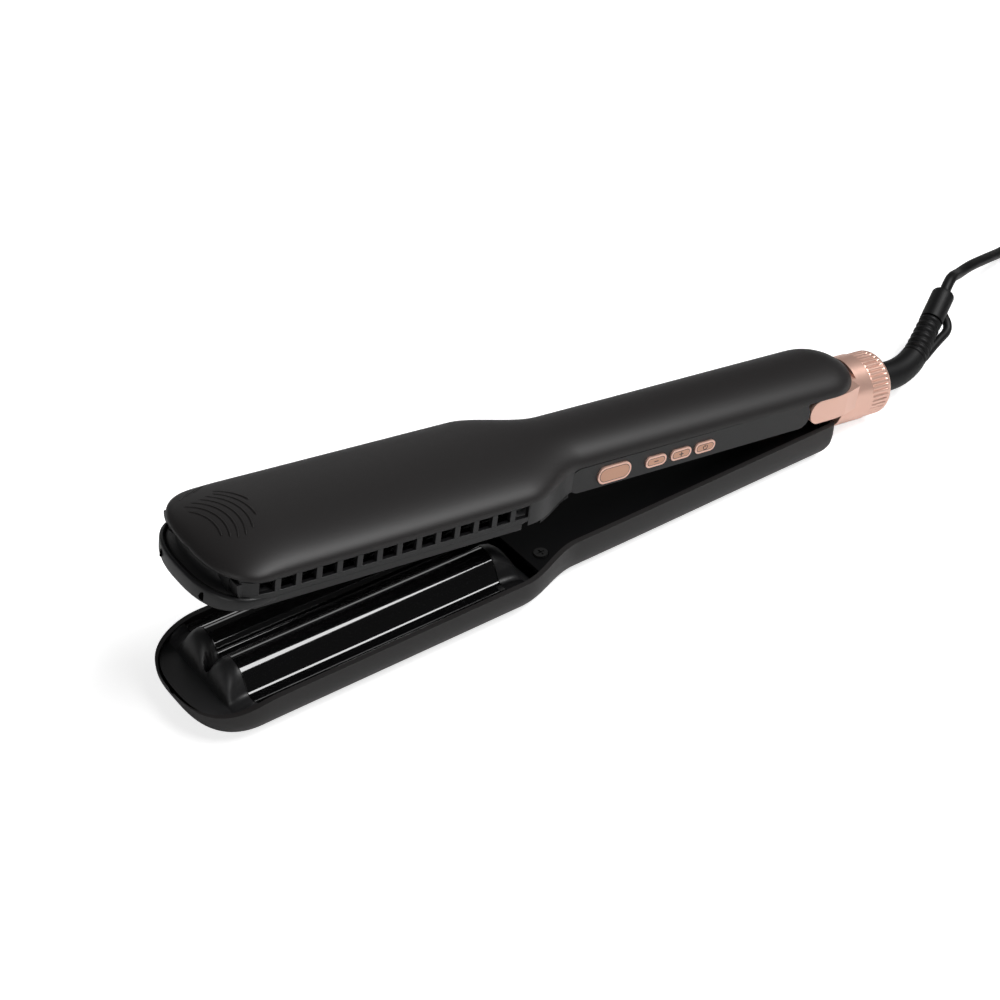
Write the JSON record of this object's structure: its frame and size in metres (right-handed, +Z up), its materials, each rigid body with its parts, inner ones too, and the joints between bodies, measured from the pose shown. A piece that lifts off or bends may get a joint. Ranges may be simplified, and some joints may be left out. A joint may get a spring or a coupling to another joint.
{
  "type": "hair waver",
  "caption": "Hand-held hair waver: two sprung arms with interlocking wave plates, side buttons, a rear lock ring and a swivelling mains cord.",
  "frame": {"origin": "middle of the footprint of the arms and lock ring, on the surface the lower arm lies on", "axes": "+X from the tip to the cord, +Y away from the buttons, +Z up; the arms are at rest, spread by the hinge spring"},
  "size_m": [0.5448, 0.0923, 0.0729],
  "materials": {
    "shell": "matte soft-touch charcoal",
    "frame": "satin black",
    "plate": "glossy black coating on aluminium",
    "cover": "gloss black",
    "rose_gold": "satin rose gold plating",
    "button": "rose gold",
    "steel": "plain",
    "heater": "ceramic white",
    "board": "printed circuit board",
    "switch": "moulded",
    "wire": "silicone insulation",
    "cord": "satin black"
  },
  "bodies": {
    "lower_arm": {"lower_shell": "shell", "lower_frame": "frame", "lower_wave_plate": "plate", "lower_front_caps": "frame", "lower_rear_caps": "frame", "lower_heaters": "heater", "lower_heater_clips": "steel", "lower_inner_cover": "cover", "lower_screws": "steel", "hinge_tongue": "frame"},
    "upper_arm": {"upper_shell": "shell", "upper_frame": "frame", "plate_carrier": "frame", "upper_wave_plate": "plate", "upper_front_caps": "frame", "upper_rear_caps": "frame", "upper_heater": "heater", "upper_heater_clip": "steel", "thermal_fuse": "steel", "upper_inner_cover": "cover", "upper_screws": "steel", "control_strip": "frame", "circuit_board": "board", "tact_switches": "switch", "wire_loom": "wire", "hinge_collar": "rose_gold", "hinge_pin": "steel", "torsion_spring": "steel", "swivel_collar": "frame"},
    "lock_ring": {"lock_ring": "rose_gold"},
    "lock_latch": {"lock_latch": "steel"},
    "heat_button": {"heat_button": "button"},
    "minus_button": {"minus_button": "button"},
    "plus_button": {"plus_button": "button"},
    "power_button": {"power_button": "button"},
    "cord": {"strain_relief": "cord", "swivel_stem": "frame", "stem_washer": "steel", "cord_run": "cord", "cord_coil": "cord", "cord_tail": "cord", "cord_tie": "cord", "plug_body": "cord", "plug_pins": "steel"}
  },
  "joints": [
    {"name": "arm_hinge", "type": "hinge", "parent": "lower_arm", "child": "upper_arm", "pos_m": [0.133, 0, 0.0186], "axis": [0, -1, 0], "range_deg": [0, 8.2], "stiffness_Nm_per_rad": 0.8, "springref_deg": -34.38},
    {"name": "lock_turn", "type": "hinge", "parent": "upper_arm", "child": "lock_ring", "pos_m": [0.14768, 0, 0.01527], "axis": [0.9898, 0, -0.1426], "range_deg": [0, 45]},
    {"name": "latch_slide", "type": "slide", "parent": "upper_arm", "child": "lock_latch", "axis": [-0.9898, 0, 0.1426], "range_m": [0, 0.002]},
    {"name": "heat_button_press", "type": "slide", "parent": "upper_arm", "child": "heat_button", "axis": [0, 1, 0], "range_m": [0, 0.0008], "stiffness_N_per_m": 400, "springref_m": -0.001},
    {"name": "minus_button_press", "type": "slide", "parent": "upper_arm", "child": "minus_button", "axis": [0, 1, 0], "range_m": [0, 0.0008], "stiffness_N_per_m": 400, "springref_m": -0.001},
    {"name": "plus_button_press", "type": "slide", "parent": "upper_arm", "child": "plus_button", "axis": [0, 1, 0], "range_m": [0, 0.0008], "stiffness_N_per_m": 400, "springref_m": -0.001},
    {"name": "power_button_press", "type": "slide", "parent": "upper_arm", "child": "power_button", "axis": [0, 1, 0], "range_m": [0, 0.0008], "stiffness_N_per_m": 400, "springref_m": -0.001},
    {"name": "cord_swivel", "type": "hinge", "parent": "upper_arm", "child": "cord", "pos_m": [0.15262, 0, 0.01456], "axis": [0.9898, 0, -0.1426], "continuous": true}
  ],
  "couplings": [
    {"joint": "lock_turn", "follows": "latch_slide", "rad_per_m": 392.7}
  ]
}
